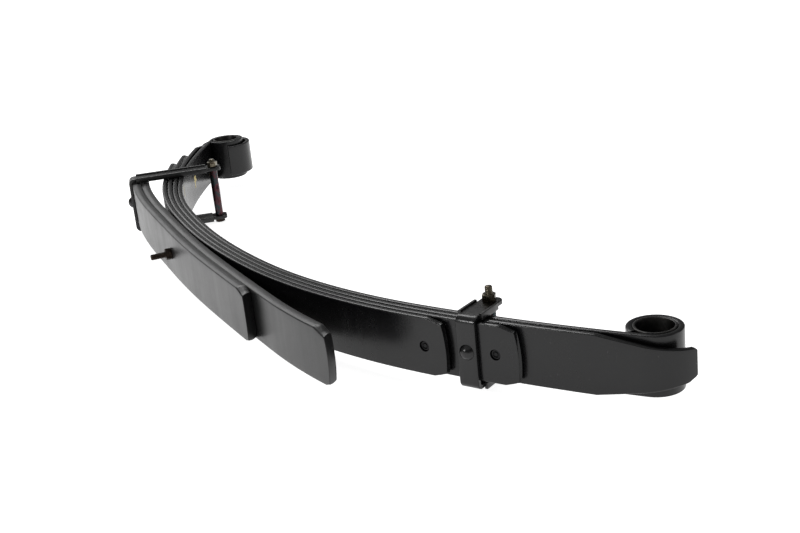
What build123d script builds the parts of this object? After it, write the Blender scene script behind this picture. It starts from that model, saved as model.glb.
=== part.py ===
from build123d import *
import math
import os

# Leaf spring lying on its side edge. X runs along the leaves at the axle seat, +X towards the
# shackle eye; +Y is the hollow (concave) side, where both eyes are rolled; Z is the leaves' width.
# The origin is on the centre bolt's axis, at mid width, on the main leaf's concave face.

# ---- leaves ----
LEAF_WIDTH = 61.2
LEAF_THICKNESS = 6.2
OVERLOAD_THICKNESS = 12.0
SEAT_GAP = 0.05
EDGE_RADIUS = 1.4
OVERLOAD_EDGE_RADIUS = 1.8
POINT_SPACING = 30.0

# Camber of the main leaf's concave face, from the centre bolt outwards: (arc length, radius).
REAR_CAMBER = ((204.0, 1090.0), (249.0, 720.0), (400.0, 1600.0))
FRONT_CAMBER = ((77.0, 1550.0), (210.0, 618.0), (300.0, 1230.0))
# Camber of the long overload leaf's upper face.
REAR_OVERLOAD_CAMBER = ((160.0, 2400.0), (160.0, 8000.0), (400.0, 804.0))
FRONT_OVERLOAD_CAMBER = ((110.0, 12000.0), (90.0, 1360.0), (300.0, 700.0))

# The leaves fan apart slightly towards their tips: gap per leaf at a reference distance.
REAR_FAN = 1.9
REAR_FAN_AT = 500.0
FRONT_FAN = 2.95
FRONT_FAN_AT = 330.0

THIRD_LEAF_ENDS = (-410.0, 576.5)
FOURTH_LEAF_ENDS = (-364.0, 501.5)
LONG_OVERLOAD_ENDS = (-296.0, 439.5)
SHORT_OVERLOAD_ENDS = (-293.0, 277.0)
TRIM_LENGTH = 17.0
TRIM_DEPTH = 4.5
# Overload leaves' rear corners, (length, depth): upper corner, then lower corner.
LONG_OVERLOAD_TRIMS = ((18.0, 6.0), (9.0, 2.2))
SHORT_OVERLOAD_TRIMS = ((15.0, 5.0), (8.0, 2.0))
LONG_OVERLOAD_DROP = 1.1
# The ends are sheared in a shallow arc; the overload leaves' rear ends slant across their thickness.
END_BULGE = 2.4
LONG_OVERLOAD_BULGE = 2.8
SHORT_OVERLOAD_BULGE = 1.2
OVERLOAD_SLANT = 22.0

# ---- eyes ----
EYE_RADIUS = 27.0
REAR_EYE_TANGENT = 694.0
FRONT_EYE_TANGENT = -488.0
EYE_ROLL_END = 232.0
EYE_SLIT = 0.6
BUSH_CLEARANCE = 0.04
BUSH_BORE_RADIUS = 18.0
BUSH_LENGTH = 62.0

# ---- wrapper leaf ----
REAR_WRAP_START = 690.0
REAR_WRAP_RADIUS = 53.0
REAR_WRAP_TURN = 60.0
REAR_TAPER_START = 649.0
# Tapered ends, lower edge then upper edge: half width at the tip, (length, depth) of the corner.
REAR_TIP = ((13.5, (9.5, 3.5)), (17.0, (2.0, 1.4)))
FRONT_TAPER_START = -440.0
FRONT_TAPER_END = -479.0
FRONT_WRAP_HALF_WIDTH = 24.0
FRONT_HOOK_INNER_RADIUS = 32.0
FRONT_HOOK_SHIFT = 2.5
FRONT_HOOK_END = -12.0

# ---- centre bolt ----
CENTRE_SHANK_RADIUS = 3.95
CENTRE_HOLE_RADIUS = 4.3
CENTRE_HEAD_RADIUS = 8.0
CENTRE_HEAD_HEIGHT = 8.0
CENTRE_BOLT_REACH = 75.0
CENTRE_NUT_FLATS = 13.5
CENTRE_NUT_HEIGHT = 7.5

# ---- tip pads ----
PAD_INSET = 26.0
PAD_STEM_RADIUS = 5.3
PAD_HOLE_RADIUS = 5.7
PAD_DISC_RADIUS = 11.0
PAD_FREE_PLAY = 0.8
PAD_RECESS = 1.0

# ---- clips ----
STRAP_WIDTH = 21.5
STRAP_THICKNESS = 4.8
STRAP_INNER_TOP = 31.3
STRAP_INNER_BOTTOM = {"rear": -34.8, "front": -38.2}
STRAP_BEND_RADIUS = {"rear": 2.1, "front": 2.5}
LEG_END_REACH = 11.0
LEG_CORNER_RADIUS = 6.0
LINER_WEB = 0.5
LINER_WALL = 2.3
LINER_LIP = 1.8
LINER_START = 6.5
REAR_CLIP_AT = 522.0
FRONT_CLIP_AT = -279.0
REAR_CLIP_BOLT = 48.2
FRONT_CLIP_BOLT = 123.5
REAR_LINER_END = 37.2
FRONT_LINER_END = 109.0
RIVET_SHANK_RADIUS = 4.0
RIVET_HEAD_RADIUS = 8.0
RIVET_HEAD_HEIGHT = 5.5
CLIP_BOLT_RADIUS = 4.0
CLIP_HOLE_RADIUS = 4.3
CLIP_NUT_FLATS = 13.0
CLIP_NUT_HEIGHT = 7.5
CLIP_HEAD_HEIGHT = 5.5
CLIP_THREAD_OUT = {"rear": 8.0, "front": 3.5}
TUBE_RADIUS = 5.8
TUBE_BORE_RADIUS = 4.15
TUBE_PLAY = 0.1

HALF = LEAF_WIDTH / 2


def walk(arcs, distance):
    """Position and heading after a distance along tangent arcs that start along X."""
    x = y = heading = 0.0
    for length, radius in arcs:
        step = min(length, distance)
        turn = step / radius
        x += radius * (math.sin(heading + turn) - math.sin(heading))
        y += radius * (math.cos(heading) - math.cos(heading + turn))
        heading += turn
        distance -= step
        if distance <= 0:
            break
    return x, y, heading


def camber_point(arcs_rear, arcs_front, s):
    """Point and heading of a cambered face at signed arc length s from the centre bolt."""
    if s >= 0:
        return walk(arcs_rear, s)
    x, y, heading = walk(arcs_front, -s)
    return -x, y, -heading


def main_point(s, depth):
    """Point at a depth below the main leaf's concave face."""
    x, y, heading = camber_point(REAR_CAMBER, FRONT_CAMBER, s)
    return x + depth * math.sin(heading), y - depth * math.cos(heading)


def overload_point(s, depth):
    """Point at a depth below the long overload leaf's upper face."""
    x, y, heading = camber_point(REAR_OVERLOAD_CAMBER, FRONT_OVERLOAD_CAMBER, s)
    base = 4 * LEAF_THICKNESS + 4 * SEAT_GAP
    return x + depth * math.sin(heading), y - base - depth * math.cos(heading)


def main_heading(s):
    return camber_point(REAR_CAMBER, FRONT_CAMBER, s)[2]


def overload_heading(s):
    return camber_point(REAR_OVERLOAD_CAMBER, FRONT_OVERLOAD_CAMBER, s)[2]


def main_slope(number, s):
    """Heading of the lower face of a main-pack leaf, which the fan turns slightly away."""
    reference, fan = (REAR_FAN_AT, REAR_FAN) if s >= 0 else (FRONT_FAN_AT, FRONT_FAN)
    return main_heading(s) - math.atan((number - 1) * 2 * fan * s / reference**2)


def fan_gap(s):
    """Gap between two neighbouring main-pack leaves."""
    if s >= 0:
        return SEAT_GAP + REAR_FAN * (s / REAR_FAN_AT) ** 2
    return SEAT_GAP + FRONT_FAN * (s / FRONT_FAN_AT) ** 2


def leaf_depth(number, s):
    """Depth of the upper face of main-pack leaf 1, 2, 3 or 4."""
    return (number - 1) * (LEAF_THICKNESS + fan_gap(s))


def stations(start, end):
    count = max(2, round((end - start) / POINT_SPACING))
    return [start + (end - start) * i / count for i in range(count + 1)]


def ribbon(upper, lower, half_width):
    """Solid between two plan curves, extruded to both sides of mid width."""
    top = Spline(*upper)
    bottom = Spline(*lower)
    end_a = Line(upper[0], lower[0])
    end_b = Line(upper[-1], lower[-1])
    face = make_face([top, end_b, bottom, end_a])
    return extrude(face, half_width, both=True)


def round_long_edges(solid, radius):
    """Rolled-bar edges: fillet the long edges that run along the leaf."""
    long_edges = [e for e in solid.edges() if e.length > 80]
    return fillet(long_edges, radius)


def local_plane(point, heading, facing):
    """Plane at a point of a leaf: x along the leaf, z out of the leaf towards the facing side."""
    x_dir = (math.cos(heading), math.sin(heading), 0)
    normal = (-facing * math.sin(heading), facing * math.cos(heading), 0)
    return Plane(origin=(point[0], point[1], 0), x_dir=x_dir, z_dir=normal)


def radial_hole(point, heading, radius, depth=60.0):
    """Cutter across a leaf at a point, centred on it."""
    return local_plane(point, heading, 1) * Cylinder(radius, depth)


def end_cutter(point, heading, towards, trims, bulge):
    """Cutter that shears a leaf end in a shallow arc and trims its upper and lower corner.

    The arc's middle passes through the point; towards is +1 for the rear end."""
    (high_length, high_depth), (low_length, low_depth) = trims
    wide = HALF + 5
    # the plane's own y points down, so the upper corner is on the negative side
    high = HALF - high_depth
    low = HALF - low_depth
    kept = [
        Line((-towards * 60, wide), (-towards * 60, -wide)),
        Line((-towards * 60, -wide), (-towards * high_length, -wide)),
        Line((-towards * high_length, -wide), (-towards * high_length, -HALF)),
        Line((-towards * high_length, -HALF), (-towards * bulge, -high)),
        ThreePointArc((-towards * bulge, -high), (0, 0), (-towards * bulge, low)),
        Line((-towards * bulge, low), (-towards * low_length, HALF)),
        Line((-towards * low_length, HALF), (-towards * low_length, wide)),
        Line((-towards * low_length, wide), (-towards * 60, wide)),
    ]
    keeper = extrude(make_face(kept), 22, both=True)
    block = Pos(-towards * 9, 0, 0) * Box(100, 2 * wide - 1, 40)
    return local_plane(point, heading, 1) * (block - keeper)


def plain_leaf(number, ends, pads):
    """Third or fourth leaf of the main pack, with trimmed corners, centre hole and pad holes."""
    along = stations(ends[0] - 4, ends[1] + 4)
    upper = [main_point(s, leaf_depth(number, s)) for s in along]
    lower = [main_point(s, leaf_depth(number, s) + LEAF_THICKNESS) for s in along]
    leaf = round_long_edges(ribbon(upper, lower, HALF), EDGE_RADIUS)
    for s, towards in zip(ends, (-1, 1)):
        middle = main_point(s, leaf_depth(number, s) + LEAF_THICKNESS / 2)
        trims = ((TRIM_LENGTH, TRIM_DEPTH), (TRIM_LENGTH, TRIM_DEPTH))
        leaf -= end_cutter(middle, main_slope(number, s), towards, trims, END_BULGE)
    leaf -= radial_hole((0, 0), 0, CENTRE_HOLE_RADIUS, 200)
    for s in pads:
        middle = main_point(s, leaf_depth(number, s) + LEAF_THICKNESS / 2)
        leaf -= radial_hole(middle, main_slope(number, s), PAD_HOLE_RADIUS, 20)
    return leaf


def overload_leaf(depth, ends, trims, bulge, drop):
    """Thick overload leaf at a depth below the long overload leaf's upper face.

    drop is how far it sits off mid width, within the play of a stacked pack."""
    along = stations(ends[0], ends[1] + 8)
    upper = [overload_point(s, depth) for s in along]
    lower = [overload_point(s, depth + OVERLOAD_THICKNESS) for s in along]
    leaf = round_long_edges(ribbon(upper, lower, HALF), OVERLOAD_EDGE_RADIUS)
    middle = overload_point(ends[1], depth + OVERLOAD_THICKNESS / 2)
    slanted = overload_heading(ends[1]) + math.radians(OVERLOAD_SLANT)
    leaf -= end_cutter(middle, slanted, 1, trims, bulge)
    leaf = Pos(0, 0, -drop) * leaf
    leaf -= radial_hole((0, 0), 0, CENTRE_HOLE_RADIUS, 200)
    return leaf


def eye_centre(tangent):
    """Centre of the eye rolled from the main leaf past its tangent point."""
    return main_point(tangent, LEAF_THICKNESS - EYE_RADIUS)


def eye_roll(tangent):
    """Rolled eye: a ring from the tangent point round to the slit on the concave face."""
    cx, cy = eye_centre(tangent)
    heading = main_heading(tangent)
    ring = Cylinder(EYE_RADIUS, LEAF_WIDTH) - Cylinder(EYE_RADIUS - LEAF_THICKNESS, LEAF_WIDTH)
    ring = fillet(ring.edges().filter_by(GeomType.CIRCLE), EDGE_RADIUS)
    # in the eye's own axes the leaf arrives from -x along the bottom and the roll runs anticlockwise
    reach = 2 * EYE_RADIUS
    low = -(EYE_RADIUS - LEAF_THICKNESS) + EYE_SLIT
    under = Pos(-reach / 2, low - reach / 2, 0) * Box(reach, reach, LEAF_WIDTH + 2)
    ring -= under
    end = math.radians(EYE_ROLL_END)
    tail = Polyline(
        (0, 0),
        (reach * math.cos(end), reach * math.sin(end)),
        (0, -reach),
        close=True,
    )
    ring -= extrude(make_face(tail), HALF + 1, both=True)
    angle = math.degrees(heading)
    if tangent < 0:
        ring = ring.mirror(Plane.YZ)
    return Pos(cx, cy, 0) * Rot(0, 0, angle) * ring


def main_leaf():
    """Main leaf with both eyes rolled up on the concave side."""
    along = stations(FRONT_EYE_TANGENT, REAR_EYE_TANGENT)
    upper = [main_point(s, 0) for s in along]
    lower = [main_point(s, LEAF_THICKNESS) for s in along]
    leaf = round_long_edges(ribbon(upper, lower, HALF), EDGE_RADIUS)
    leaf += eye_roll(REAR_EYE_TANGENT)
    leaf += eye_roll(FRONT_EYE_TANGENT)
    leaf -= radial_hole((0, 0), 0, CENTRE_HOLE_RADIUS, 200)
    # flat spot under the centre bolt's head
    leaf -= Rot(-90, 0, 0) * bar(CENTRE_HEAD_RADIUS + 0.5, 2)
    return leaf


def rear_wrap(depth):
    """Points round the rear quarter turn, at a depth below the wrapper's upper face."""
    x, y = main_point(REAR_WRAP_START, leaf_depth(2, REAR_WRAP_START) + LEAF_THICKNESS)
    heading = main_slope(2, REAR_WRAP_START)
    cx = x - REAR_WRAP_RADIUS * math.sin(heading)
    cy = y + REAR_WRAP_RADIUS * math.cos(heading)
    radius = REAR_WRAP_RADIUS - LEAF_THICKNESS + depth
    points = []
    for i in range(1, 9):
        a = heading + math.radians(REAR_WRAP_TURN) * i / 8
        points.append((cx + radius * math.sin(a), cy - radius * math.cos(a)))
    return points


def hook_centre():
    cx, cy = eye_centre(FRONT_EYE_TANGENT)
    return cx - FRONT_HOOK_SHIFT, cy


def front_hook(depth):
    """Points round the front hook, from its free end back to the leaf."""
    cx, cy = hook_centre()
    radius = FRONT_HOOK_INNER_RADIUS + depth
    last = math.degrees(main_heading(FRONT_EYE_TANGENT)) - 98
    first = FRONT_HOOK_END - 360
    points = []
    for i in range(25):
        a = math.radians(first + (last - first) * i / 24)
        points.append((cx + radius * math.cos(a), cy + radius * math.sin(a)))
    return points


def taper_wedges(start, tip, edges, overrun, reach):
    """Wedges that narrow a leaf in a straight line from full width at start to its tip.

    edges gives, for the lower and the upper edge, the half width at the tip and the (length, depth)
    trimmed off the tip's corner."""
    length = math.dist(start, tip)
    heading = math.atan2(tip[1] - start[1], tip[0] - start[0])
    wedges = []
    for side, (half_width, (corner_length, corner_depth)) in zip((1, -1), edges):
        last = half_width - corner_depth
        border = [(0, HALF)]
        if corner_length:
            level = half_width + (HALF - half_width) * corner_length / length
            border.append((length - corner_length, level))
        border += [(length, last), (length + overrun, last), (length + overrun, HALF + 2), (0, HALF + 2)]
        outline = Polyline(*[(x, side * y) for x, y in border], close=True)
        wedge = extrude(make_face(outline), reach, both=True)
        wedges.append(local_plane(start, heading, 1) * wedge)
    return wedges


def wrapper_leaf():
    """Second leaf: hooks round the front eye and turns up past the rear eye."""
    along = stations(FRONT_EYE_TANGENT + 28, REAR_WRAP_START)
    upper = front_hook(0) + [main_point(s, leaf_depth(2, s)) for s in along] + rear_wrap(0)
    lower = front_hook(LEAF_THICKNESS)
    lower += [main_point(s, leaf_depth(2, s) + LEAF_THICKNESS) for s in along]
    lower += rear_wrap(LEAF_THICKNESS)
    leaf = round_long_edges(ribbon(upper, lower, HALF), EDGE_RADIUS)
    leaf -= radial_hole((0, 0), 0, CENTRE_HOLE_RADIUS, 200)
    rear_start = main_point(REAR_TAPER_START, leaf_depth(2, REAR_TAPER_START) + LEAF_THICKNESS)
    for wedge in taper_wedges(rear_start, lower[-1], REAR_TIP, 10, 60):
        leaf -= wedge
    front_start = main_point(FRONT_TAPER_START, leaf_depth(2, FRONT_TAPER_START) + 3)
    front_end = main_point(FRONT_TAPER_END, leaf_depth(2, FRONT_TAPER_END) + 3)
    front_edge = (FRONT_WRAP_HALF_WIDTH, (0, 0))
    for wedge in taper_wedges(front_start, front_end, (front_edge, front_edge), 8, 9):
        leaf -= wedge
    cx, cy = hook_centre()
    outside = FRONT_HOOK_INNER_RADIUS + LEAF_THICKNESS + 1.5
    for side in (1, -1):
        cap = Cylinder(outside, HALF, align=(Align.CENTER, Align.CENTER, Align.MIN))
        if side < 0:
            cap = cap.mirror(Plane.XY)
        leaf -= Pos(cx, cy, side * FRONT_WRAP_HALF_WIDTH) * cap
    return leaf


def eye_bush(tangent):
    """Steel bush pressed into an eye."""
    cx, cy = eye_centre(tangent)
    outer = EYE_RADIUS - LEAF_THICKNESS - BUSH_CLEARANCE
    bush = Cylinder(outer, BUSH_LENGTH) - Cylinder(BUSH_BORE_RADIUS, BUSH_LENGTH)
    return Pos(cx, cy, 0) * bush


def hexagon(flats, height):
    """Hex prism with its base on the XY plane and lightly turned corners."""
    prism = extrude(RegularPolygon(flats / 2, 6, major_radius=False), height)
    turned = Cylinder(flats / 2 * 1.13, height, align=(Align.CENTER, Align.CENTER, Align.MIN))
    return prism & chamfer(turned.edges(), 0.9)


def bar(radius, length):
    """Round bar with its base on the XY plane."""
    return Cylinder(radius, length, align=(Align.CENTER, Align.CENTER, Align.MIN))


def centre_bolt():
    """Centre bolt: dowel head on the concave side, threaded end past the short overload leaf."""
    head = chamfer(bar(CENTRE_HEAD_RADIUS, CENTRE_HEAD_HEIGHT).edges().sort_by(Axis.Z)[-1], 1.0)
    shank = Pos(0, 0, -CENTRE_BOLT_REACH) * bar(CENTRE_SHANK_RADIUS, CENTRE_BOLT_REACH)
    shank = chamfer(shank.edges().sort_by(Axis.Z)[0], 0.8)
    return Rot(-90, 0, 0) * (head + shank)


def centre_nut():
    stack = 4 * LEAF_THICKNESS + 5 * SEAT_GAP + 2 * OVERLOAD_THICKNESS + 0.05
    nut = hexagon(CENTRE_NUT_FLATS, CENTRE_NUT_HEIGHT)
    nut -= bar(CENTRE_SHANK_RADIUS + 0.03, CENTRE_NUT_HEIGHT)
    return Rot(90, 0, 0) * (Pos(0, 0, stack) * Rot(0, 0, 30) * nut)


def tip_pad(number, s):
    """Anti-friction pad: disc between two leaves, stem in the outer leaf's hole, short of its face."""
    gap = fan_gap(s)
    face = main_point(s, leaf_depth(number, s))
    disc = bar(PAD_DISC_RADIUS, gap - PAD_FREE_PLAY)
    stem_length = LEAF_THICKNESS - PAD_RECESS
    stem = Pos(0, 0, -stem_length) * bar(PAD_STEM_RADIUS, stem_length)
    stem = fillet(stem.edges().sort_by(Axis.Z)[0], 0.8)
    groove = bar(3.4, 0.8) - bar(2.0, 0.8)
    stem -= Pos(0, 0, -stem_length) * groove
    lift = Pos(0, 0, PAD_FREE_PLAY / 2)
    return local_plane(face, main_slope(number, s), 1) * (lift * (disc + stem))


def clip_plane(end):
    """Plane of a clip on the face it is riveted to: x along the leaf, z towards the eyes' side."""
    if end == "rear":
        face = main_point(REAR_CLIP_AT, leaf_depth(3, REAR_CLIP_AT) + LEAF_THICKNESS)
        return local_plane(face, main_slope(3, REAR_CLIP_AT), 1)
    face = overload_point(FRONT_CLIP_AT, 2 * OVERLOAD_THICKNESS + SEAT_GAP)
    return local_plane(face, overload_heading(FRONT_CLIP_AT), 1)


def clip_bolt_distance(end):
    outside = REAR_CLIP_BOLT if end == "rear" else FRONT_CLIP_BOLT
    return outside - STRAP_THICKNESS


def clip_strap(end):
    """U-shaped strap: base across the outer leaf, two legs past the pack's edges."""
    bolt = clip_bolt_distance(end)
    high, low = STRAP_INNER_TOP, STRAP_INNER_BOTTOM[end]
    top = bolt + LEG_END_REACH
    # sideways is -Z in the clip's own plane, so the upper leg is on the minus side
    outline = Polyline(
        (-high - STRAP_THICKNESS, -STRAP_THICKNESS - 0.05),
        (-low + STRAP_THICKNESS, -STRAP_THICKNESS - 0.05),
        (-low + STRAP_THICKNESS, top),
        (-low, top),
        (-low, -0.05),
        (-high, -0.05),
        (-high, top),
        (-high - STRAP_THICKNESS, top),
        close=True,
    )
    strap = extrude(Plane.YZ * make_face(outline), STRAP_WIDTH / 2, both=True)
    bend = STRAP_BEND_RADIUS[end]
    outer_bends = strap.edges().filter_by(Axis.X).sort_by(Axis.Z)[:2]
    strap = fillet(outer_bends, bend + STRAP_THICKNESS)
    inner_bends = strap.edges().filter_by(Axis.X).filter_by(
        lambda e: abs(e.center().Z + 0.05) < 0.01
    )
    strap = fillet(inner_bends, bend)
    leg_corners = strap.edges().filter_by(Axis.Y).filter_by(lambda e: e.center().Z > top - 0.1)
    strap = fillet(leg_corners, LEG_CORNER_RADIUS)
    across = Rot(90, 0, 0) * Cylinder(CLIP_HOLE_RADIUS, 200)
    strap -= Pos(0, 0, bolt) * across
    strap -= Cylinder(RIVET_SHANK_RADIUS + 0.05, 30)
    return clip_plane(end) * strap


def rivet(end):
    """Dome-headed rivet through the strap and the leaf it is fixed to."""
    grip = LEAF_THICKNESS if end == "rear" else OVERLOAD_THICKNESS
    shank = Pos(0, 0, -STRAP_THICKNESS - 0.1) * bar(RIVET_SHANK_RADIUS, grip + STRAP_THICKNESS)
    radius = (RIVET_HEAD_RADIUS**2 + RIVET_HEAD_HEIGHT**2) / (2 * RIVET_HEAD_HEIGHT)
    dome = Pos(0, 0, radius - RIVET_HEAD_HEIGHT) * Sphere(radius)
    half_space = Box(40, 40, 40, align=(Align.CENTER, Align.CENTER, Align.MAX))
    head = Pos(0, 0, -STRAP_THICKNESS - 0.1) * (dome & half_space)
    return clip_plane(end) * (shank + head)


def clip_liner(end, side):
    """Plastic channel on one leg: a thin web inside the leg and a wall along both edges."""
    stop = REAR_LINER_END if end == "rear" else FRONT_LINER_END
    length = stop - LINER_START
    inner = (STRAP_INNER_TOP if side > 0 else -STRAP_INNER_BOTTOM[end]) - 0.05
    height = LINER_WEB + STRAP_THICKNESS + LINER_LIP
    slot_width = STRAP_WIDTH + 0.1
    block = Box(slot_width + 2 * LINER_WALL, height, length)
    slot = Box(slot_width, height, length + 1)
    channel = block - Pos(0, LINER_WEB, 0) * slot
    channel = Pos(0, inner - LINER_WEB + height / 2, (LINER_START + stop) / 2) * channel
    if side > 0:
        channel = channel.mirror(Plane.XZ)
    return clip_plane(end) * channel


def upright(end, height, solid):
    """Place a solid built along +Z on the clip bolt's axis at a height."""
    axis_point = (clip_plane(end) * Pos(0, 0, clip_bolt_distance(end))).position
    return Pos(axis_point.X, axis_point.Y, height) * solid


def clip_bolt(end):
    """Clip bolt: hex head under the lower leg, thread end above the upper leg's nut."""
    bottom = STRAP_INNER_BOTTOM[end] - STRAP_THICKNESS - 0.05
    top = STRAP_INNER_TOP + STRAP_THICKNESS + CLIP_NUT_HEIGHT + CLIP_THREAD_OUT[end]
    shank = chamfer(bar(CLIP_BOLT_RADIUS, top - bottom).edges().sort_by(Axis.Z)[-1], 0.7)
    head = Pos(0, 0, -CLIP_HEAD_HEIGHT) * hexagon(CLIP_NUT_FLATS, CLIP_HEAD_HEIGHT)
    return upright(end, bottom, shank + head)


def clip_nut(end):
    nut = hexagon(CLIP_NUT_FLATS, CLIP_NUT_HEIGHT) - bar(CLIP_BOLT_RADIUS + 0.03, CLIP_NUT_HEIGHT)
    return upright(end, STRAP_INNER_TOP + STRAP_THICKNESS + 0.05, nut)


def clip_tube(end):
    """Spacer tube round the clip bolt, between the two legs."""
    bottom = STRAP_INNER_BOTTOM[end] + TUBE_PLAY
    length = STRAP_INNER_TOP - TUBE_PLAY - bottom
    return upright(end, bottom, bar(TUBE_RADIUS, length) - bar(TUBE_BORE_RADIUS, length))


def third_leaf():
    pads = (THIRD_LEAF_ENDS[0] + PAD_INSET, THIRD_LEAF_ENDS[1] - PAD_INSET)
    leaf = plain_leaf(3, THIRD_LEAF_ENDS, pads)
    return leaf - clip_plane("rear") * Cylinder(RIVET_SHANK_RADIUS + 0.05, 20)


def fourth_leaf():
    pads = (FOURTH_LEAF_ENDS[0] + PAD_INSET, FOURTH_LEAF_ENDS[1] - PAD_INSET)
    return plain_leaf(4, FOURTH_LEAF_ENDS, pads)


def long_overload_leaf():
    return overload_leaf(
        0, LONG_OVERLOAD_ENDS, LONG_OVERLOAD_TRIMS, LONG_OVERLOAD_BULGE, LONG_OVERLOAD_DROP
    )


def short_overload_leaf():
    depth = OVERLOAD_THICKNESS + SEAT_GAP
    leaf = overload_leaf(depth, SHORT_OVERLOAD_ENDS, SHORT_OVERLOAD_TRIMS, SHORT_OVERLOAD_BULGE, 0)
    bore = Cylinder(RIVET_SHANK_RADIUS + 0.05, OVERLOAD_THICKNESS * 2)
    return leaf - clip_plane("front") * bore


def all_nodes():
    """Every sub-part by node name."""
    nodes = {
        "main_leaf": main_leaf(),
        "wrapper_leaf": wrapper_leaf(),
        "third_leaf": third_leaf(),
        "fourth_leaf": fourth_leaf(),
        "long_overload_leaf": long_overload_leaf(),
        "short_overload_leaf": short_overload_leaf(),
        "rear_eye_bush": eye_bush(REAR_EYE_TANGENT),
        "front_eye_bush": eye_bush(FRONT_EYE_TANGENT),
        "centre_bolt": centre_bolt(),
        "centre_nut": centre_nut(),
    }
    for number, word, ends in ((3, "third", THIRD_LEAF_ENDS), (4, "fourth", FOURTH_LEAF_ENDS)):
        nodes[f"{word}_leaf_front_pad"] = tip_pad(number, ends[0] + PAD_INSET)
        nodes[f"{word}_leaf_rear_pad"] = tip_pad(number, ends[1] - PAD_INSET)
    for end in ("front", "rear"):
        nodes[f"{end}_clip_strap"] = clip_strap(end)
        nodes[f"{end}_clip_rivet"] = rivet(end)
        nodes[f"{end}_clip_bolt"] = clip_bolt(end)
        nodes[f"{end}_clip_nut"] = clip_nut(end)
        nodes[f"{end}_clip_tube"] = clip_tube(end)
        nodes[f"{end}_clip_upper_liner"] = clip_liner(end, 1)
        nodes[f"{end}_clip_lower_liner"] = clip_liner(end, -1)
    return nodes


if __name__ == "__main__":
    os.makedirs("parts", exist_ok=True)
    for name, solid in all_nodes().items():
        export_step(solid, f"parts/{name}.step")
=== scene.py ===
import math
import bmesh
import bpy
from mathutils import Matrix, Vector

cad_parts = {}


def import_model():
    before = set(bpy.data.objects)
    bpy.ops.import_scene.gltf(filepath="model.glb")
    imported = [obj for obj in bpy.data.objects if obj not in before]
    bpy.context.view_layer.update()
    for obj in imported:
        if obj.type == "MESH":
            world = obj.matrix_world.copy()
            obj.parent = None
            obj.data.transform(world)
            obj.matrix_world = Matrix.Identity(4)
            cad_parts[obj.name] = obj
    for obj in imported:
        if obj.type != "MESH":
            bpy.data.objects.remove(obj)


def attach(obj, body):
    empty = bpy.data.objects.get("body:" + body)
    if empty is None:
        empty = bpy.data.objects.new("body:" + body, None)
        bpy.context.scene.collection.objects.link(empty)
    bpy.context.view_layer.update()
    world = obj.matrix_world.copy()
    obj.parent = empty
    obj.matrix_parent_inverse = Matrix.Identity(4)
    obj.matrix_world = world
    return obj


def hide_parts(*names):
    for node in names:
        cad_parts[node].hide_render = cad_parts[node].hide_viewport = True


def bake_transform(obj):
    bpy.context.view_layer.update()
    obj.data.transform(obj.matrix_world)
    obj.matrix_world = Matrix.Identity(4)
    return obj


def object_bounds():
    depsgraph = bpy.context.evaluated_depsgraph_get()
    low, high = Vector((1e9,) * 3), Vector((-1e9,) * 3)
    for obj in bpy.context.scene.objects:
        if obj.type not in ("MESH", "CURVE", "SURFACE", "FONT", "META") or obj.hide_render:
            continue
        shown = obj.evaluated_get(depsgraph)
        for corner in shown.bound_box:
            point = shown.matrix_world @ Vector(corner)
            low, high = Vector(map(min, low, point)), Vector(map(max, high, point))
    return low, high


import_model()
cad_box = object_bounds()

# Lengths are in millimetres in the part's own frame, and become metres where meshes are made. The
# stage, lights and camera are in metres.
MM = 0.001

# ---- driving dimensions ----
# These repeat the part's source, with small differences in EDGE, EYE_ROLL_END, TIP_HIGH,
# STRAP_BEND, LINER_WALL and the rear skew.
HALF = 30.6
THICK = 6.2
THICK_OVERLOAD = 12.0
SEAT_GAP = 0.05
EDGE = 1.1
EDGE_OVERLOAD = 1.8
REAR_CAMBER = ((204.0, 1090.0), (249.0, 720.0), (400.0, 1600.0))
FRONT_CAMBER = ((77.0, 1550.0), (210.0, 618.0), (300.0, 1230.0))
REAR_OVERLOAD_CAMBER = ((160.0, 2400.0), (160.0, 8000.0), (400.0, 804.0))
FRONT_OVERLOAD_CAMBER = ((110.0, 12000.0), (90.0, 1360.0), (300.0, 700.0))
REAR_FAN, REAR_FAN_AT = 1.9, 500.0
FRONT_FAN, FRONT_FAN_AT = 2.95, 330.0
THIRD_ENDS = (-410.0, 576.5)
FOURTH_ENDS = (-364.0, 501.5)
LONG_OVERLOAD_ENDS = (-296.0, 439.5)
SHORT_OVERLOAD_ENDS = (-293.0, 277.0)
TRIM_LENGTH, TRIM_DEPTH, END_BULGE = 17.0, 4.5, 2.4
# The rear ends of the third and fourth leaf lean back at their upper corner, which is cut longer.
REAR_SKEW, REAR_TRIM_EXTRA = 0.045, 5.0
LONG_TRIMS, LONG_BULGE, LONG_DROP = ((18.0, 6.0), (9.0, 2.2)), 2.8, 1.1
SHORT_TRIMS, SHORT_BULGE = ((15.0, 5.0), (8.0, 2.0)), 1.2
OVERLOAD_SLANT = math.tan(math.radians(22.0))
EYE_RADIUS = 27.0
REAR_EYE_TANGENT = 694.0
FRONT_EYE_TANGENT = -488.0
EYE_ROLL_END = 228.5
BUSH_BORE = 18.0
BUSH_OUTER = 20.76
BUSH_HALF_LENGTH = 31.0
REAR_WRAP_START, REAR_WRAP_RADIUS, REAR_WRAP_TURN = 690.0, 53.0, 60.0
REAR_TAPER_START = 649.0
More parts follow.
